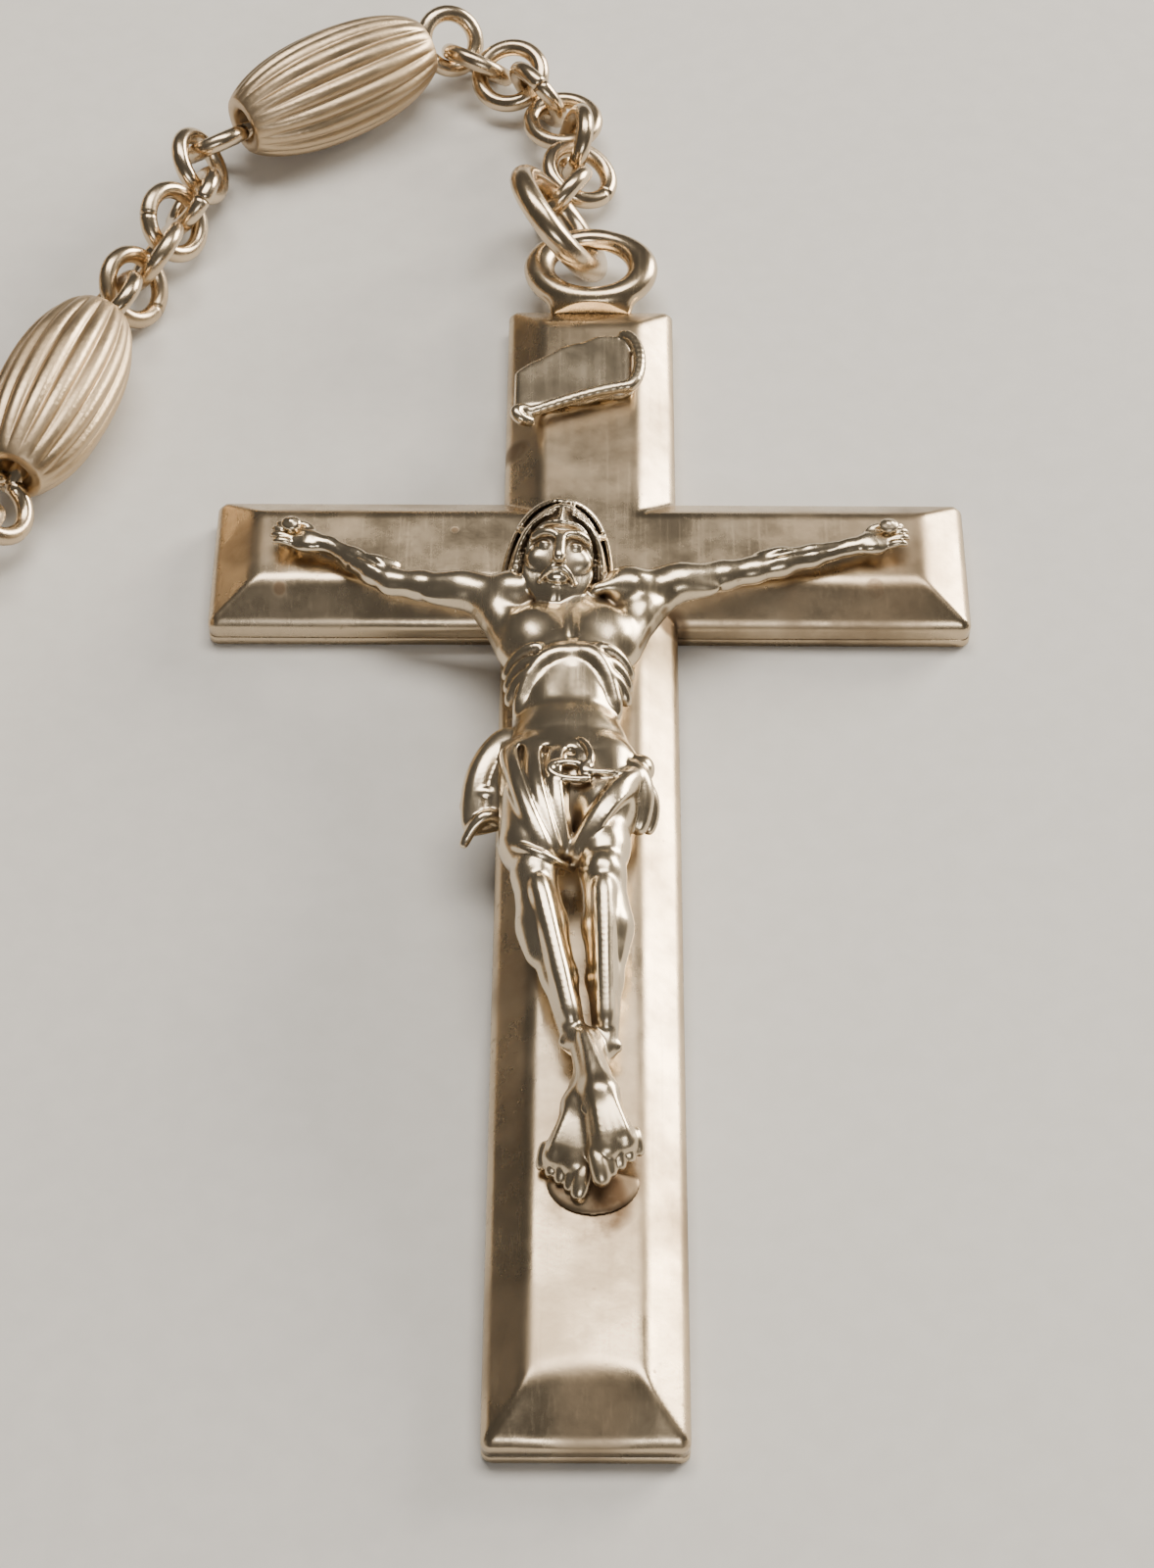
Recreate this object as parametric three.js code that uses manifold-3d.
// Five-decade silver rosary: a hollow crucifix on a jump ring, a pendant chain of fluted beads and
// wire links, an oval centre medal, and the loop of five decades laid in a double spiral.
// Millimetres, +Z up, lying on the plane z = 0. The origin is on the back face of the crucifix,
// under the middle of its arms. +Y runs to the top of the cross.
import * as THREE from 'three';
import { mergeVertices } from 'three/addons/utils/BufferGeometryUtils.js';
import Module from 'manifold-3d';

const wasm = await Module();
wasm.setup();

// ---------- driving dimensions ----------
const GAP = 0.05; // between pieces that are soldered or rest on each other

const CROSS_TOP = 13.8;
const CROSS_BOTTOM = -37.0;
const CROSS_HALF_SPAN = 14.3;
const BAR_HALF = 3.3;
const ARM_HALF = 3.15;
const CORNER = 0.35;
const PLATE = 0.45; // thickness of the back plate
const EDGE_Z = 1.1; // top of the upright side wall
const FACE_Z = 2.2; // raised middle of the front
const BEVEL_SIDE = 1.45;
const BEVEL_END = 1.75;
const SHELL_WALL = 0.45;

const BAIL_RADIUS = 2.26;
const JUMP_RADIUS = 2.34;
const BIG_WIRE = 0.5; // wire radius of the bail and the jump ring
const LINK_RADIUS = 1.34;
const EYE_RADIUS = 1.2;
const WIRE = 0.36; // wire radius of the links and the eye-pins
const RING_STEPS = 10;
const RING_SIDES = 5;

const BEAD_HALF = 4.5;
const BEAD_RADIUS = 2.35;
const BEAD_MOUTH = 1.35;
const BORE = 0.9;
const RIBS = 18;
const PIN_HALF = 5.9; // from the middle of an eye-pin to the middle of its eye
const PIN_Z = 2.0;
const BEAD_Z = 2.35;
const LINK_Z = 1.75;

const EYE_TO_LINK = 1.66;
const LINK_TO_LINK = 1.86;
const LINKS_BY_LARGE_BEAD = 5;
const BEADS_PER_DECADE = 10;

const UP = new THREE.Vector3(0, 0, 1);
const rad = THREE.MathUtils.degToRad;

// ---------- materials ----------
const silver = (color, roughness) => new THREE.MeshStandardMaterial({ color, roughness, metalness: 1 });
const satinSilver = silver(0xb9ab97, 0.42);
const wornSilver = silver(0xa79a88, 0.38);
const castSilver = silver(0xc2b6a4, 0.34);
const wireSilver = silver(0xb3a794, 0.3);

// ---------- solids ----------
function closed(geometry) {
  const bare = geometry.clone();
  bare.deleteAttribute('normal');
  bare.deleteAttribute('uv');
  return mergeVertices(bare, 1e-4);
}

function solid(geometry) {
  const bare = closed(geometry);
  return new wasm.Manifold(new wasm.Mesh({
    numProp: 3,
    vertProperties: new Float32Array(bare.attributes.position.array),
    triVerts: new Uint32Array(bare.index.array),
  }));
}

function geometryOf(body) {
  const mesh = body.getMesh();
  const geometry = new THREE.BufferGeometry();
  geometry.setAttribute('position', new THREE.BufferAttribute(new Float32Array(mesh.vertProperties), 3));
  geometry.setIndex(new THREE.BufferAttribute(new Uint32Array(mesh.triVerts), 1));
  geometry.computeVertexNormals();
  return geometry;
}

const joined = (geometries) => geometryOf(geometries.map(solid).reduce((all, next) => all.add(next)));

function cut(geometry, tools) {
  return geometryOf(tools.map(solid).reduce((body, tool) => body.subtract(tool), solid(geometry)));
}

// A solid between stacked outlines that have the same number of points: [{ z, outline }, ...].
function loft(layers) {
  const count = layers[0].outline.length;
  const positions = layers.flatMap(({ z, outline }) => outline.flatMap((p) => [p.x, p.y, z]));
  const index = [];
  for (let k = 0; k + 1 < layers.length; k += 1) {
    for (let i = 0; i < count; i += 1) {
      const a = k * count + i;
      const b = k * count + ((i + 1) % count);
      index.push(a, b, b + count, a, b + count, a + count);
    }
  }
  const top = (layers.length - 1) * count;
  for (const [a, b, c] of THREE.ShapeUtils.triangulateShape(layers[0].outline, [])) index.push(a, c, b);
  for (const [a, b, c] of THREE.ShapeUtils.triangulateShape(layers.at(-1).outline, [])) {
    index.push(top + a, top + b, top + c);
  }
  const geometry = new THREE.BufferGeometry();
  geometry.setAttribute('position', new THREE.Float32BufferAttribute(positions, 3));
  geometry.setIndex(index);
  return geometry;
}

// A closed tube along points, with its own half-width and half-height at each: [x, y, z, w, h].
// The half-width is measured across the run in the XY plane, the half-height along Z.
function limb(stations, sides) {
  const positions = [];
  const index = [];
  const at = stations.map(([x, y, z]) => new THREE.Vector3(x, y, z));
  stations.forEach(([, , , w, h], k) => {
    const along = at[Math.min(k + 1, at.length - 1)].clone().sub(at[Math.max(k - 1, 0)]).normalize();
    const across = new THREE.Vector3().crossVectors(UP, along).normalize();
    const rise = new THREE.Vector3().crossVectors(along, across);
    for (let i = 0; i < sides; i += 1) {
      const turn = ((i + 0.5) / sides) * 2 * Math.PI;
      const p = at[k].clone().addScaledVector(across, w * Math.cos(turn));
      positions.push(...p.addScaledVector(rise, h * Math.sin(turn)).toArray());
    }
  });
  for (let k = 0; k + 1 < at.length; k += 1) {
    for (let i = 0; i < sides; i += 1) {
      const a = k * sides + i;
      const b = k * sides + ((i + 1) % sides);
      index.push(a, b, b + sides, a, b + sides, a + sides);
    }
  }
  const last = (at.length - 1) * sides;
  for (let i = 1; i + 1 < sides; i += 1) index.push(0, i + 1, i, last, last + i, last + i + 1);
  const geometry = new THREE.BufferGeometry();
  geometry.setAttribute('position', new THREE.Float32BufferAttribute(positions, 3));
  geometry.setIndex(index);
  return geometry;
}

const ring = (radius, wire, steps, sides) => new THREE.TorusGeometry(radius, wire, sides, steps);

// A round rod standing along Z.
const post = (radius, low, high, sides = 8) => new THREE.CylinderGeometry(radius, radius, high - low, sides)
  .rotateX(Math.PI / 2).translate(0, 0, (low + high) / 2);

// ---------- crucifix ----------
// The outline of a cross, drawn in by side and by end, with its outer corners cut.
function crossOutline(side, end) {
  const bar = BAR_HALF - side;
  const arm = ARM_HALF - side;
  const top = CROSS_TOP - end;
  const bottom = CROSS_BOTTOM + end;
  const span = CROSS_HALF_SPAN - end;
  const c = CORNER;
  const points = [
    [bar, bottom + c], [bar, -arm], [span - c, -arm], [span, -arm + c], [span, arm - c], [span - c, arm],
    [bar, arm], [bar, top - c], [bar - c, top], [-bar + c, top], [-bar, top - c], [-bar, arm],
    [-span + c, arm], [-span, arm - c], [-span, -arm + c], [-span + c, -arm], [-bar, -arm],
    [-bar, bottom + c], [-bar + c, bottom], [bar - c, bottom],
  ];
  return points.map(([x, y]) => new THREE.Vector2(x, y));
}

const HAND_X = 11.2;
const HAND_Y = 0.1;
const FOOT_Y = -26.2;
const NAILS = { left_hand: [-HAND_X, HAND_Y], right_hand: [HAND_X, HAND_Y], feet: [0.15, FOOT_Y] };
const NAIL_SHANK = 0.22;
const NAIL_HOLE = 0.3;
const NAIL_FOOT_Z = FACE_Z - 0.3;

const nailHoles = (low, high) =>
  Object.values(NAILS).map(([x, y]) => post(NAIL_HOLE, low, high).translate(x, y, 0));

function crossShell() {
  const outer = loft([
    { z: PLATE + GAP, outline: crossOutline(0, 0) },
    { z: EDGE_Z, outline: crossOutline(0, 0) },
    { z: FACE_Z, outline: crossOutline(BEVEL_SIDE, BEVEL_END) },
  ]);
  const inner = loft([
    { z: 0, outline: crossOutline(SHELL_WALL, SHELL_WALL) },
    { z: EDGE_Z - 0.1, outline: crossOutline(SHELL_WALL, SHELL_WALL) },
    { z: FACE_Z - SHELL_WALL, outline: crossOutline(BEVEL_SIDE + 0.1, BEVEL_END + 0.1) },
  ]);
  return cut(outer, [inner, ...nailHoles(1, 3)]);
}

const backPlate = () => loft([
  { z: 0, outline: crossOutline(0, 0) },
  { z: PLATE, outline: crossOutline(0, 0) },
]);

const BAIL_Z = 1.65;
const BAIL_Y = CROSS_TOP + BAIL_RADIUS + 0.14;

// The bail is a ring of heavy wire whose foot is cut flat where it is soldered to the end of the cross.
function bailRing() {
  const foot = new THREE.BoxGeometry(8, 2, 4).translate(0, CROSS_TOP + GAP - 1, BAIL_Z);
  const wire = ring(BAIL_RADIUS, BIG_WIRE, 16, 8).translate(0, BAIL_Y, BAIL_Z);
  return cut(wire, [foot]);
}

// A blank banner that rises to the right, with one end curled over.
function titulus() {
  const banner = [[-2.7, 5.9], [-1.2, 6.1], [1.75, 7.4], [1.9, 9.9], [0.4, 9.6], [-2.6, 8.2]];
  const outline = banner.map(([x, y]) => new THREE.Vector2(x, y + 1.0));
  const strip = loft([
    { z: FACE_Z + GAP, outline },
    { z: FACE_Z + GAP + 0.42, outline },
  ]);
  const curl = limb([[-2.5, 6.7, FACE_Z + 0.55, 0.35, 0.45], [-2.5, 9.2, FACE_Z + 0.55, 0.35, 0.45]], 8);
  const lip = limb([[-2.0, 7.2, FACE_Z + 0.6, 0.25, 0.35], [1.7, 8.4, FACE_Z + 0.6, 0.25, 0.35]], 6);
  return joined([strip, curl, lip]);
}

// The figure: head, arms, trunk, loincloth and legs as tapering limbs joined into one casting.
const BODY_Z = FACE_Z + GAP;

function arm(sign) {
  const shoulderX = sign > 0 ? 0.9 : -2.3;
  const elbow = sign > 0 ? [6.1, -1.9] : [-7.3, -2.6];
  return limb([
    [shoulderX, -3.6, BODY_Z + 1.2, 0.95, 1.0],
    [(shoulderX + elbow[0]) / 2, (elbow[1] - 3.1) / 2, BODY_Z + 0.95, 0.78, 0.8],
    [...elbow, BODY_Z + 0.75, 0.6, 0.65],
    [sign * 9.6, -0.7, BODY_Z + 0.6, 0.45, 0.5],
    [sign * 10.6, -0.1, BODY_Z + 0.48, 0.72, 0.42],
    [sign * 12.2, 0.5, BODY_Z + 0.4, 0.42, 0.34],
  ], 6);
}

function leg(sign) {
  return limb([
    [-0.6 + sign * 1.0, -11.4, BODY_Z + 1.5, 1.25, 1.3],
    [-0.7 + sign * 1.1, -14.4, BODY_Z + 1.9, 1.15, 1.2],
    [-0.7 + sign * 1.15, -17.1, BODY_Z + 2.1, 0.88, 0.95],
    [-0.4 + sign * 0.95, -20.0, BODY_Z + 1.35, 0.82, 0.9],
    [0 + sign * 0.5, -23.2, BODY_Z + 0.95, 0.5, 0.6],
    [0.15 + sign * 0.35, -26.0, BODY_Z + 1.0, 0.58, 0.5],
    [0.2 + sign * 0.1, -28.7, BODY_Z + 0.72, 0.48, 0.34],
  ], 6);
}

function corpus() {
  const trunk = limb([
    [-0.7, -2.6, BODY_Z + 1.3, 1.6, 0.9],
    [-0.7, -4.0, BODY_Z + 1.35, 2.45, 1.3],
    [-0.7, -6.4, BODY_Z + 1.3, 2.05, 1.25],
    [-0.65, -9.2, BODY_Z + 1.1, 1.55, 1.0],
    [-0.65, -11.4, BODY_Z + 1.3, 2.3, 1.25],
    [-0.7, -13.6, BODY_Z + 1.45, 2.35, 1.35],
  ], 10);
  const neck = limb([[-0.8, -3.4, BODY_Z + 1.5, 0.8, 0.8], [-1.0, -1.6, BODY_Z + 1.7, 0.75, 0.8]], 8);
  const head = new THREE.SphereGeometry(1, 12, 8).scale(1.5, 2.0, 1.45).translate(-1.1, -0.9, BODY_Z + 1.85);
  const hair = new THREE.SphereGeometry(1, 10, 6).scale(2.0, 2.1, 1.1).translate(-1.1, -0.85, BODY_Z + 1.3);
  const cloth = limb([
    [-0.65, -10.9, BODY_Z + 1.35, 2.5, 1.4],
    [-0.7, -12.6, BODY_Z + 1.55, 2.75, 1.55],
    [-0.75, -14.3, BODY_Z + 1.7, 2.45, 1.65],
  ], 10);
  const flap = limb([
    [-3.0, -11.2, BODY_Z + 0.8, 0.7, 0.6],
    [-3.6, -13.2, BODY_Z + 0.7, 0.75, 0.5],
    [-3.7, -15.0, BODY_Z + 0.6, 0.45, 0.35],
  ], 6);
  const knot = new THREE.SphereGeometry(1, 8, 6).scale(0.85, 0.9, 0.7).translate(1.9, -11.6, BODY_Z + 1.4);
  const pieces = [trunk, neck, head, hair, arm(1), arm(-1), leg(1), leg(-1), cloth, flap, knot];
  const holes = nailHoles(FACE_Z - 1, BODY_Z + 8);
  const below = new THREE.BoxGeometry(40, 60, 4).translate(0, -15, BODY_Z - 2);
  return cut(joined(pieces), [below, ...holes]);
}

const HAND_TOP = BODY_Z + 0.93;
const FEET_TOP = BODY_Z + 1.53;

// A nail with a domed head that stands just clear of what it holds.
function nail(top) {
  const profile = [
    [0, NAIL_FOOT_Z], [NAIL_SHANK, NAIL_FOOT_Z], [NAIL_SHANK, top + GAP], [0.5, top + GAP],
    [0.42, top + 0.25], [0.2, top + 0.36], [0, top + 0.38],
  ].map(([x, y]) => new THREE.Vector2(x, y));
  return new THREE.LatheGeometry(profile, 8).rotateX(Math.PI / 2);
}

// A small block just past the toes.
function footBlock() {
  const corners = [[-1.5, -30.0], [1.9, -30.0], [1.7, -29.1], [-1.3, -29.1]];
  const outline = corners.map(([x, y]) => new THREE.Vector2(x, y));
  const low = FACE_Z + GAP;
  return loft([{ z: low, outline }, { z: low + 0.8, outline }]);
}

// ---------- beads, pins and links ----------
// A hollow fluted oval with a plain bore, along X. steps is the number of points round it.
function bead(steps, ribDepth) {
  const outerX = [-1, -0.58, 0, 0.58, 1];
  const swell = (t) => BEAD_MOUTH + (BEAD_RADIUS - BEAD_MOUTH) * Math.sqrt(1 - t * t) ** 1.1;
  const rows = outerX.map((t) => ({ x: t * BEAD_HALF, radius: swell(t), rib: ribDepth * (1 - t ** 4) }));
  rows.push({ x: BEAD_HALF, radius: BORE, rib: 0 }, { x: -BEAD_HALF, radius: BORE, rib: 0 });
  const positions = [];
  const index = [];
  for (const { x, radius, rib } of rows) {
    for (let i = 0; i < steps; i += 1) {
      const turn = (i / steps) * 2 * Math.PI;
      const r = radius - rib * (i % 2);
      positions.push(x, r * Math.cos(turn), r * Math.sin(turn));
    }
  }
  for (let k = 0; k < rows.length; k += 1) {
    const next = (k + 1) % rows.length;
    for (let i = 0; i < steps; i += 1) {
      const j = (i + 1) % steps;
      index.push(k * steps + i, next * steps + j, next * steps + i);
      index.push(k * steps + i, k * steps + j, next * steps + j);
    }
  }
  const geometry = new THREE.BufferGeometry();
  geometry.setAttribute('position', new THREE.Float32BufferAttribute(positions, 3));
  geometry.setIndex(index);
  return geometry;
}

// A straight wire along X with an eye at each end. A roll is the turn of the eye's axis about X,
// from level across the wire (0) to upright (90).
function eyePin(rollAtStart, rollAtEnd) {
  const eye = (x, roll) => ring(EYE_RADIUS, WIRE, RING_STEPS, RING_SIDES)
    .rotateX(rad(roll) - Math.PI / 2).translate(x, 0, 0);
  const reach = PIN_HALF - EYE_RADIUS;
  const wire = new THREE.CylinderGeometry(WIRE, WIRE, 2 * reach, 6).rotateZ(Math.PI / 2);
  return joined([wire, eye(-PIN_HALF, rollAtStart), eye(PIN_HALF, rollAtEnd)]);
}

const link = () => closed(ring(LINK_RADIUS, WIRE, RING_STEPS, RING_SIDES));

// ---------- where the chain lies ----------
const v = (x, y, z) => new THREE.Vector3(x, y, z);

// The normal of a ring in a chain that runs along heading, rolled about that run.
function rolled(heading, roll) {
  const across = new THREE.Vector3().crossVectors(UP, heading).normalize();
  return across.multiplyScalar(Math.cos(rad(roll))).addScaledVector(UP, Math.sin(rad(roll)));
}

// Rings as they happen to lie between the crucifix and the first bead: centre and normal of each.
const JUMP_RING = [v(-1.31, 17.57, 2.43), v(0.78, 0.28, 0.57)];
const LINKS_CROSS_TO_BEAD_1 = [
  [v(-1.2, 20.09, 1.56), v(-0.75, 0.46, 0.48)],
  [v(-0.5, 21.82, 1.32), v(0.39, -0.12, 0.91)],
  [v(-0.74, 23.46, 1.59), v(-0.94, -0.06, 0.35)],
  [v(-1.22, 25.18, 1.31), v(0.0, -0.02, 1.0)],
  [v(-2.27, 26.57, 1.605), v(0.74, 0.59, 0.33)],
  [v(-3.5, 27.91, 1.53), v(-0.18, -0.37, 0.91)],
  [v(-4.93, 28.86, 1.32), v(0.41, 0.62, 0.66)],
];
// and between the first bead and the second, where the chain lies slack
const LINKS_BEAD_1_TO_2 = [
  [v(-16.33, 21.54, 1.96), v(0.84, -0.05, 0.55)],
  [v(-16.54, 19.76, 1.58), v(-0.77, 0.15, 0.62)],
  [v(-17.16, 18.16, 1.9), v(0.71, -0.35, 0.61)],
  [v(-17.79, 16.39, 1.64), v(-0.78, 0.24, 0.58)],
  [v(-18.55, 14.66, 1.55), v(0.72, -0.38, 0.58)],
];
// An eye-pin's middle and the direction that it runs in, away from the crucifix.
const PIN_1 = { at: v(-10.97, 26.22, PIN_Z), heading: rad(215.05) };
const PIN_2 = { at: v(-20.88, 7.69, PIN_Z), heading: rad(253.5) };
const LINK_2_TO_3 = v(-23.56, 0.76, LINK_Z);

// Beyond the second bead the chain follows a spiral, and from the medal on it runs there and back.
const START = v(-24.35, -0.6, PIN_Z);
const START_HEADING = rad(250);
const COIL_RADIUS = 68;
const TURN_PITCH = 17;
const STRAND_OFFSET = 4.25;
const INNER_SPREAD = 14; // how much further apart the strands are at the inner end
const SPREAD_ANGLE = 1.3;
const STEP = 0.02; // angle step along the spiral
const START_ANGLE = START_HEADING + Math.PI / 2;
const OUT_TO_START = v(Math.cos(START_ANGLE), Math.sin(START_ANGLE), 0);
const CENTRE = START.clone().addScaledVector(OUT_TO_START, -COIL_RADIUS);

function onSpiral(turned, offset) {
  const radius = COIL_RADIUS - (TURN_PITCH * turned) / (2 * Math.PI) + offset;
  const angle = START_ANGLE - turned;
  return v(CENTRE.x + radius * Math.cos(angle), CENTRE.y + radius * Math.sin(angle), 0);
}

// The next place along a route that is a straight distance away from the place before.
function walker(route) {
  let here = route[0].clone();
  let next = 1;
  return (distance) => {
    while (next + 1 < route.length && route[next].distanceTo(here) < distance) next += 1;
    const a = route[next - 1];
    const b = route[next];
    let low = 0;
    let high = 1;
    for (let i = 0; i < 40; i += 1) {
      const mid = (low + high) / 2;
      if (a.clone().lerp(b, mid).distanceTo(here) < distance) low = mid;
      else high = mid;
    }
    here = a.clone().lerp(b, high);
    return here.clone();
  };
}

const rosary = new THREE.Group();

function add(name, geometry, material, position = v(0, 0, 0), quaternion = new THREE.Quaternion()) {
  const mesh = new THREE.Mesh(geometry, material);
  mesh.name = name;
  mesh.position.copy(position);
  mesh.quaternion.copy(quaternion);
  rosary.add(mesh);
}

const facing = (normal) => new THREE.Quaternion().setFromUnitVectors(UP, normal.clone().normalize());
const headed = (angle) => new THREE.Quaternion().setFromAxisAngle(UP, angle);
const numbered = (name, k) => `${name}_${String(k).padStart(2, '0')}`;

let linkCount = 0;
function addLink(centre, normal) {
  linkCount += 1;
  add(numbered('link', linkCount), link(), wireSilver, centre, facing(normal));
}

function addBeadOnPin(k, name, middle, heading, rolls, steps, ribDepth) {
  add(numbered('eye_pin', k), eyePin(...rolls), wireSilver, v(middle.x, middle.y, PIN_Z), headed(heading));
  add(name, bead(steps, ribDepth), satinSilver, v(middle.x, middle.y, BEAD_Z), headed(heading));
}

// ---------- the pendant, from the crucifix to the medal ----------
add('cross_front_shell', crossShell(), wornSilver);
add('cross_back_plate', backPlate(), wornSilver);
add('bail_ring', bailRing(), wornSilver);
add('titulus_scroll', titulus(), castSilver);
add('corpus', corpus(), castSilver);
add('foot_block', footBlock(), castSilver);
add('nail_left_hand', nail(HAND_TOP), castSilver, v(...NAILS.left_hand, 0));
add('nail_right_hand', nail(HAND_TOP), castSilver, v(...NAILS.right_hand, 0));
add('nail_feet', nail(FEET_TOP), castSilver, v(...NAILS.feet, 0));
add('jump_ring', closed(ring(JUMP_RADIUS, BIG_WIRE, 16, 8)), wireSilver, JUMP_RING[0], facing(JUMP_RING[1]));

const FLUTED_STEPS = 2 * RIBS;
const RIB_DEPTH = 0.16;
for (const [centre, normal] of LINKS_CROSS_TO_BEAD_1) addLink(centre, normal);
addBeadOnPin(1, 'bead_1_our_father', PIN_1.at, PIN_1.heading, [45, 135], FLUTED_STEPS, RIB_DEPTH);
for (const [centre, normal] of LINKS_BEAD_1_TO_2) addLink(centre, normal);
addBeadOnPin(2, 'bead_2_hail_mary', PIN_2.at, PIN_2.heading, [135, 45], FLUTED_STEPS, RIB_DEPTH);
addLink(LINK_2_TO_3, rolled(START.clone().sub(LINK_2_TO_3).setZ(0), 135));

const TAIL_TURN = 1.6;
const tail = [];
for (let a = 0; a < TAIL_TURN; a += STEP) tail.push(onSpiral(a, 0));
const alongTail = walker(tail);
let end = tail[0];

// An eye-pin with its bead, from the eye at end to the next eye along the walk.
function pinAlong(walk, k, name, rolls, steps, ribDepth) {
  const from = end;
  end = walk(2 * PIN_HALF);
  const middle = from.clone().lerp(end, 0.5);
  const heading = Math.atan2(end.y - from.y, end.x - from.x);
  addBeadOnPin(k, name, middle, heading, rolls, steps, ribDepth);
}

function linksAlong(walk, rolls) {
  rolls.forEach((roll, k) => {
    const from = end;
    end = walk(k === 0 ? EYE_TO_LINK : LINK_TO_LINK);
    addLink(end.clone().setZ(LINK_Z), rolled(end.clone().sub(from), roll));
  });
  end = walk(EYE_TO_LINK);
}

pinAlong(alongTail, 3, 'bead_3_hail_mary', [45, 135], FLUTED_STEPS, RIB_DEPTH);
linksAlong(alongTail, [45]);
pinAlong(alongTail, 4, 'bead_4_hail_mary', [135, 45], FLUTED_STEPS, RIB_DEPTH);
linksAlong(alongTail, [135, 45, 135, 45, 135]);
pinAlong(alongTail, 5, 'bead_5_our_father', [45, 135], FLUTED_STEPS, RIB_DEPTH);
linksAlong(alongTail, [30, 105, 180]);

// ---------- centre medal ----------
const MEDAL_LENGTH = 6.2; // half, along the chain
const MEDAL_WIDTH = 5.0; // half, across it
const MEDAL_THICKNESS = 1.3;
const MEDAL_EYE_Z = 1.45;
const MEDAL_SHOULDER = [4.55, 4.6]; // where the two upper eyes are, along and across

function centreMedal() {
  const oval = (inset) => new THREE.EllipseCurve(0, 0, MEDAL_LENGTH - inset, MEDAL_WIDTH - inset)
    .getPoints(16).slice(0, 16);
  const low = MEDAL_EYE_Z - MEDAL_THICKNESS / 2;
  const high = MEDAL_EYE_Z + MEDAL_THICKNESS / 2;
  const body = loft([
    { z: low, outline: oval(0.3) },
    { z: MEDAL_EYE_Z, outline: oval(0) },
    { z: high, outline: oval(0.4) },
    { z: high - 0.25, outline: oval(1.1) },
  ]);
  const eye = (x, y) => ring(EYE_RADIUS, WIRE, RING_STEPS, RING_SIDES).translate(x, y, MEDAL_EYE_Z);
  const [x, y] = MEDAL_SHOULDER;
  return joined([body, eye(-MEDAL_LENGTH - 0.9, 0), eye(x, y), eye(x, -y)]);
}

const medalEye = end;
const MEDAL_REACH = MEDAL_LENGTH + 0.9; // from the medal's middle to its lower eye
const eyeAngle = Math.atan2(medalEye.y - CENTRE.y, medalEye.x - CENTRE.x);
const medalHeading = eyeAngle - Math.PI / 2 - MEDAL_REACH / COIL_RADIUS;
const medalWay = v(Math.cos(medalHeading), Math.sin(medalHeading), 0);
const medalAcross = v(-medalWay.y, medalWay.x, 0);
const medalMiddle = medalEye.clone().addScaledVector(medalWay, MEDAL_REACH);
add('centre_medal', centreMedal(), castSilver, v(medalMiddle.x, medalMiddle.y, 0), headed(medalHeading));

const shoulder = (side) => medalMiddle.clone().addScaledVector(medalWay, MEDAL_SHOULDER[0])
  .addScaledVector(medalAcross, side * MEDAL_SHOULDER[1]);

// ---------- the loop: out along one strand, round the inner end, back along the other ----------
const turnedTo = (place) => {
  const angle = Math.atan2(place.y - CENTRE.y, place.x - CENTRE.x);
  return (START_ANGLE - angle + 2 * Math.PI) % (2 * Math.PI);
};
const LOOP_START = turnedTo(shoulder(1)) + 0.05;

function loopRoute(lastTurn) {
  const spread = (a) => {
    const t = Math.max(0, (a - lastTurn + SPREAD_ANGLE) / SPREAD_ANGLE);
    return INNER_SPREAD * t * t * (3 - 2 * t);
  };
  const outer = [];
  const inner = [];
  for (let a = LOOP_START; a < lastTurn; a += STEP) {
    outer.push(onSpiral(a, STRAND_OFFSET));
    inner.push(onSpiral(a, -STRAND_OFFSET - spread(a)));
  }
  const from = outer.at(-1);
  const middle = from.clone().lerp(inner.at(-1), 0.5);
  const turn = [];
  for (let a = 0.1; a < Math.PI; a += 0.1) {
    turn.push(from.clone().sub(middle).applyAxisAngle(UP, -a).add(middle));
  }
  return [shoulder(1), ...outer, ...turn, ...inner.reverse(), shoulder(-1)];
}

// The places of a decade's rings, links and pins along a walk, the last of them its end ring.
function decadePlaces(walk) {
  const step = (k) => (k === 0 ? EYE_TO_LINK : LINK_TO_LINK);
  const links = (count) => Array.from({ length: count }, (_, k) => walk(step(k)));
  const run = links(LINKS_BY_LARGE_BEAD);
  const beads = [];
  for (let k = 0; k < BEADS_PER_DECADE; k += 1) {
    if (k > 0) run.push(...links(1));
    const from = walk(EYE_TO_LINK);
    const to = walk(2 * PIN_HALF);
    beads.push([from, to]);
    run.push(from, to);
  }
  run.push(...links(LINKS_BY_LARGE_BEAD));
  return { run, beads };
}

function loopPlaces(lastTurn) {
  const walk = walker(loopRoute(lastTurn));
  const decades = [];
  const largeBeads = [];
  for (let k = 0; k < 5; k += 1) {
    if (k > 0) largeBeads.push([walk(EYE_TO_LINK), walk(2 * PIN_HALF)]);
    decades.push(decadePlaces(walk));
  }
  return { decades, largeBeads, end: decades.at(-1).run.at(-1) };
}

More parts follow.
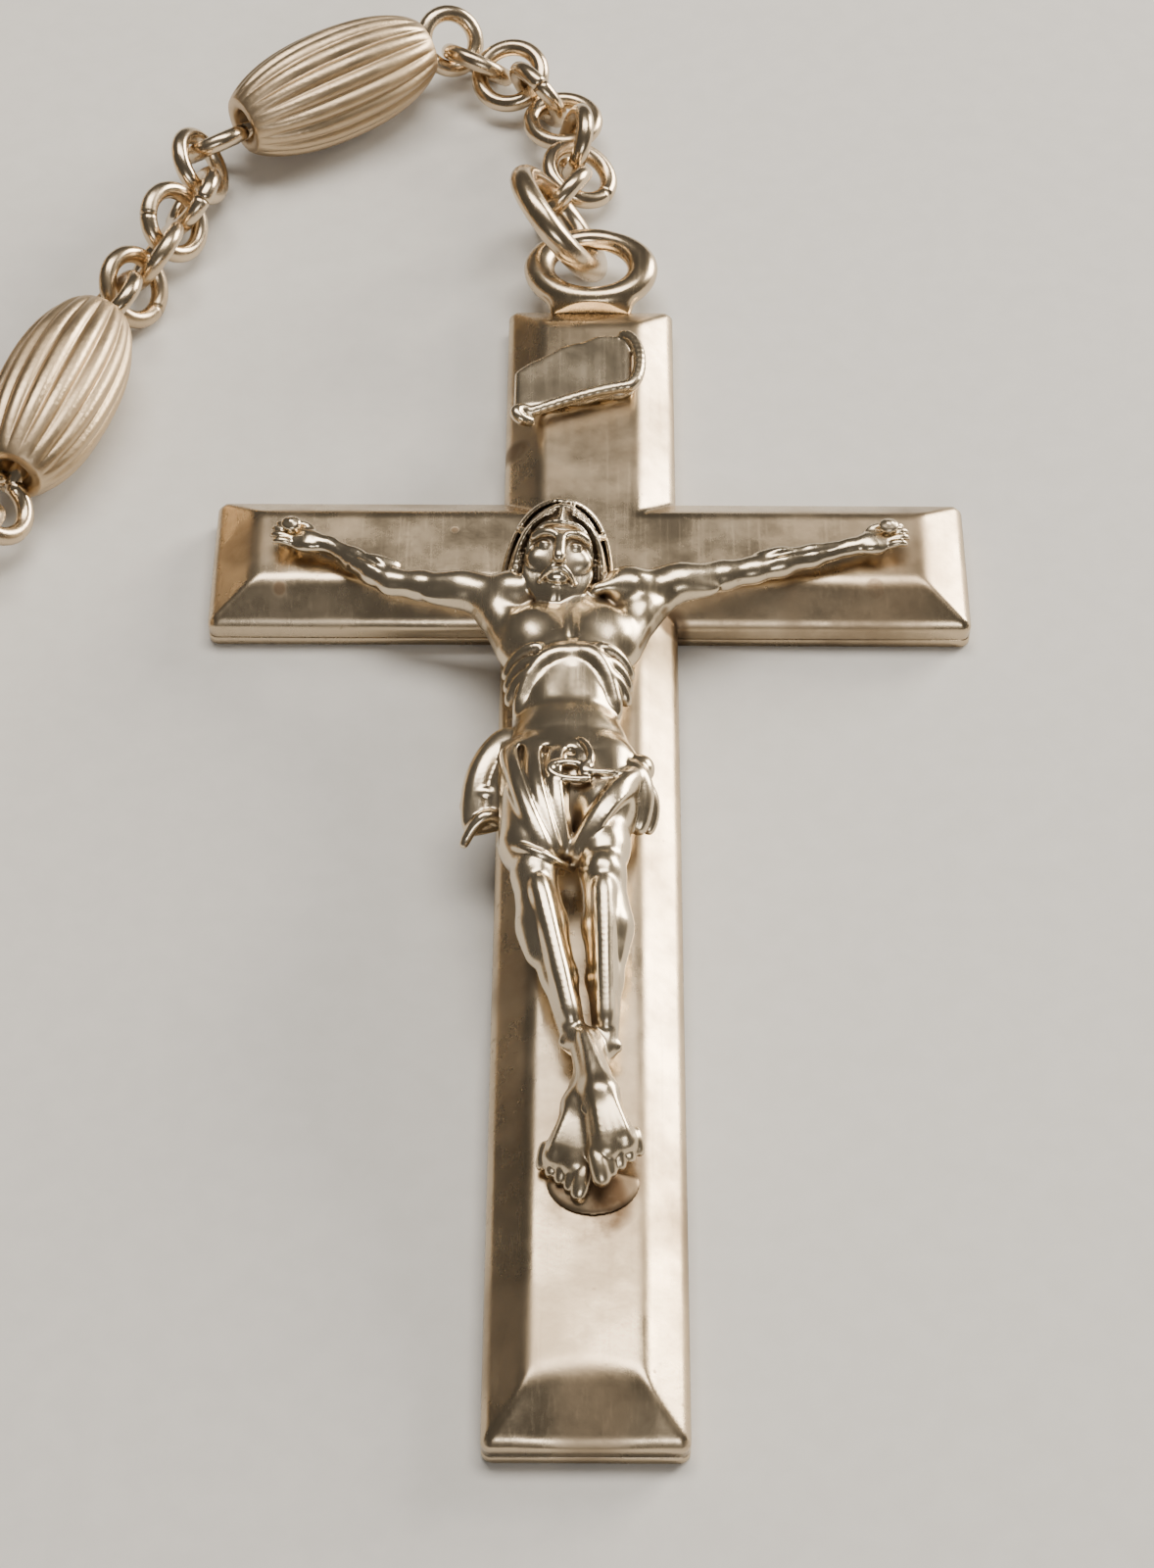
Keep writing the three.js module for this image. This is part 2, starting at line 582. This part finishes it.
// The spiral is turned in until the last ring just reaches the medal's second shoulder.
const END_RING_DROP = 0.55; // the end rings hang a little below the line of the beads
const OPEN_END = 3.7; // from the medal's eye to the last ring, where the loop is opened
let fewTurns = 8;
let manyTurns = 13;
for (let k = 0; k < 30; k += 1) {
  const mid = (fewTurns + manyTurns) / 2;
  const reached = turnedTo(loopPlaces(mid).end) < LOOP_START + 0.5
    && loopPlaces(mid).end.distanceTo(shoulder(-1)) < OPEN_END;
  if (reached) fewTurns = mid;
  else manyTurns = mid;
}
const { decades, largeBeads } = loopPlaces(fewTurns);

// A decade is one body: ten plain barrels on a wire that follows the run, with a ring at each end.
function decadeStrand({ run, beads }) {
  const station = (place, radius) => [place.x, place.y, BEAD_Z, radius, radius];
  const barrel = ([from, to]) => {
    const middle = from.clone().lerp(to, 0.5);
    const way = to.clone().sub(from).normalize();
    const at = (t) => middle.clone().addScaledVector(way, t);
    return [
      station(from, WIRE), station(at(-BEAD_HALF), BEAD_MOUTH), station(middle, BEAD_RADIUS),
      station(at(BEAD_HALF), BEAD_MOUTH), station(to, WIRE),
    ];
  };
  const rim = LINK_RADIUS / LINK_TO_LINK;
  const first = run[0].clone().lerp(run[1], rim);
  const last = run.at(-1).clone().lerp(run.at(-2), rim);
  const strand = limb([station(first, WIRE), ...beads.flatMap(barrel), station(last, WIRE)], 6);
  const endRing = (place, beyond) => ring(LINK_RADIUS, WIRE, RING_STEPS, RING_SIDES)
    .applyQuaternion(facing(rolled(place.clone().sub(beyond), 0)))
    .translate(place.x, place.y, BEAD_Z - END_RING_DROP);
  return joined([strand, endRing(run[0], run[1]), endRing(run.at(-1), run.at(-2))]);
}

decades.forEach((decade, k) => add(`decade_${k + 1}`, decadeStrand(decade), satinSilver));
largeBeads.forEach(([from, to], k) => {
  const middle = from.clone().lerp(to, 0.5);
  const heading = Math.atan2(to.y - from.y, to.x - from.x);
  addBeadOnPin(k + 6, `bead_${k + 6}_our_father`, middle, heading, [90, 90], RIBS, 0);
});

export default rosary;
